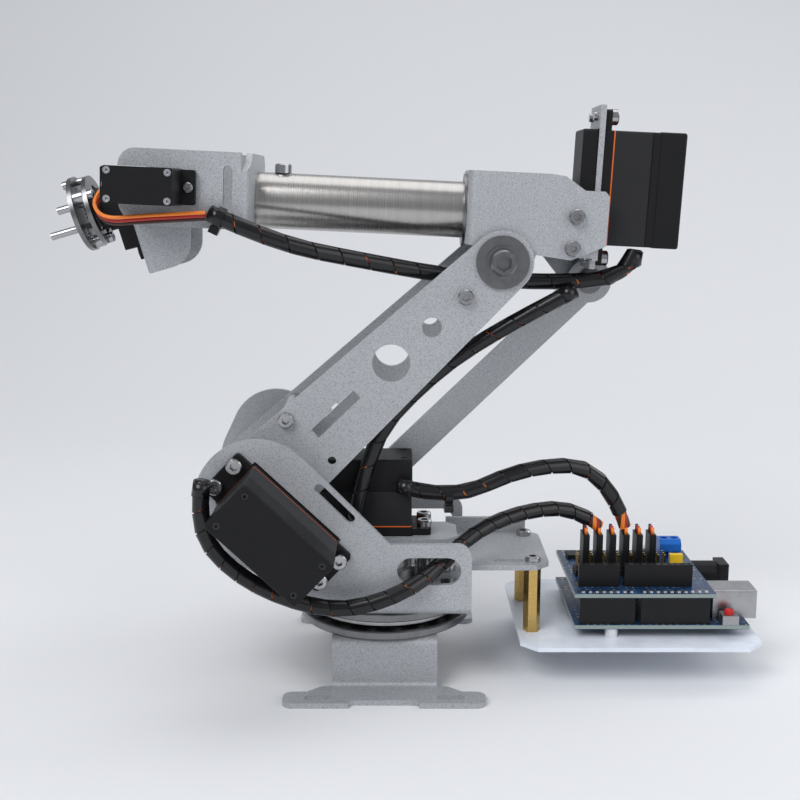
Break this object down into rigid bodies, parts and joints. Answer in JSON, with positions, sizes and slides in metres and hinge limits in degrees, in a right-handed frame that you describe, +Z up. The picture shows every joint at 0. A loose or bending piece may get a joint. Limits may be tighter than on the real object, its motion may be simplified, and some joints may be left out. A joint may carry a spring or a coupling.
{
  "type": "robot arm",
  "caption": "Desktop robot arm of folded sheet with servo-driven waist, shoulder, linkage elbow, rolling forearm tube, pitching wrist and tool flange, controller boards at the rear",
  "frame": {"origin": "on the waist axis, in the plane of the underside of the base feet, at the centre of the four foot slots", "axes": "+Z up along the waist axis; -X towards the tool at rest, +X towards the controller; +Y to the far side"},
  "size_m": [0.261, 0.124, 0.208],
  "materials": {
    "grey_paint": "speckled silver-grey powder coat",
    "bright_steel": "bright stainless fasteners",
    "tube_steel": "turned stainless tube",
    "aluminium": "turned aluminium",
    "servo_black": "black moulded servo case",
    "brass": "plain brass",
    "white_sheet": "white acrylic sheet",
    "board_blue": "solder-masked circuit board",
    "connector_black": "black connector plastic",
    "connector_metal": "plated shell",
    "terminal_blue": "blue terminal block",
    "button_red": "red push button",
    "cable_black": "black spiral wrap over servo leads",
    "lead_orange": "three-wire servo lead"
  },
  "bodies": {
    "base": {"base_bracket": "grey_paint", "turntable_lower_race": "bright_steel", "base_pillar": "aluminium", "base_screws": "bright_steel"},
    "waist": {"turntable_upper_race": "bright_steel", "turntable_balls": "bright_steel", "waist_bracket": "grey_paint", "waist_servo": "servo_black", "servo_deck": "grey_paint", "shoulder_servo": "servo_black", "elbow_servo": "servo_black", "waist_screws": "bright_steel", "waist_spacers": "bright_steel", "controller_bracket": "grey_paint", "brass_standoffs": "brass", "controller_tray": "white_sheet", "main_board": "board_blue", "board_sockets": "connector_black", "usb_socket": "connector_metal", "power_jack": "connector_black", "servo_shield": "board_blue", "pin_headers": "connector_black", "servo_plugs": "connector_black", "screw_terminal": "terminal_blue", "waist_cables": "cable_black"},
    "reset": {"reset_button": "button_red"},
    "boom": {"boom_plate_near": "grey_paint", "boom_plate_far": "grey_paint", "shoulder_horn": "aluminium", "boom_fasteners": "bright_steel", "crank_bearing": "bright_steel", "elbow_bolt": "bright_steel", "boom_cable": "cable_black"},
    "crank": {"crank_plate": "grey_paint", "crank_horn": "aluminium", "crank_pin": "bright_steel"},
    "link": {"link_rod": "grey_paint", "link_bearings": "bright_steel"},
    "forearm": {"link_pin": "bright_steel", "elbow_bracket": "grey_paint", "roll_servo_mount": "grey_paint", "roll_servo": "servo_black", "forearm_screws": "bright_steel", "tube_bearing": "bright_steel", "wrist_cable": "cable_black"},
    "wrist": {"forearm_tube": "tube_steel", "tube_plugs": "aluminium", "roll_horn": "aluminium", "wrist_bracket": "grey_paint", "pitch_servo": "servo_black", "wrist_screws": "bright_steel"},
    "yoke": {"pitch_horn": "servo_black", "yoke": "grey_paint", "tool_servo": "servo_black", "tool_servo_screws": "bright_steel", "wrist_leads": "lead_orange"},
    "tool": {"tool_horn": "servo_black", "tool_disc_rear": "aluminium", "tool_disc_front": "aluminium", "tool_pins": "bright_steel"}
  },
  "joints": [
    {"name": "waist_yaw", "type": "hinge", "parent": "base", "child": "waist", "pos_m": [0, 0, 0.0248], "axis": [0, 0, 1], "range_deg": [-90, 90]},
    {"name": "shoulder_pitch", "type": "hinge", "parent": "waist", "child": "boom", "pos_m": [-0.0443, 0, 0.0714], "axis": [0, 1, 0], "range_deg": [-70, 8], "deforming": ["boom_cable", "wrist_cable"]},
    {"name": "elbow_pitch", "type": "hinge", "parent": "boom", "child": "forearm", "pos_m": [0.0413, 0, 0.15406], "axis": [0, 1, 0], "range_deg": [-25, 35], "deforming": ["boom_cable", "wrist_cable"]},
    {"name": "elbow_crank", "type": "hinge", "parent": "boom", "child": "crank", "pos_m": [-0.0443, 0, 0.0714], "axis": [0, 1, 0], "range_deg": [-25, 35]},
    {"name": "link_pivot", "type": "hinge", "parent": "crank", "child": "link", "pos_m": [-0.00888, 0, 0.06257], "axis": [0, 1, 0], "range_deg": [-35, 25]},
    {"name": "forearm_roll", "type": "hinge", "parent": "forearm", "child": "wrist", "pos_m": [0.0421, 0, 0.17105], "axis": [-0.9989, 0, 0.0471], "range_deg": [-90, 90], "deforming": ["wrist_cable"]},
    {"name": "wrist_pitch", "type": "hinge", "parent": "wrist", "child": "yoke", "pos_m": [-0.0746, 0, 0.18005], "axis": [0, 1, 0], "range_deg": [-45, 60], "deforming": ["wrist_leads"]},
    {"name": "tool_roll", "type": "hinge", "parent": "yoke", "child": "tool", "pos_m": [-0.0746, 0, 0.18005], "axis": [-0.9613, 0, -0.2756], "range_deg": [-90, 90]},
    {"name": "reset_press", "type": "slide", "parent": "waist", "child": "reset", "axis": [0, 0, -1], "range_m": [0, 0.00025], "stiffness_N_per_m": 800}
  ],
  "couplings": [
    {"joint": "elbow_crank", "follows": "elbow_pitch", "ratio": 1},
    {"joint": "link_pivot", "follows": "elbow_pitch", "ratio": -1}
  ]
}
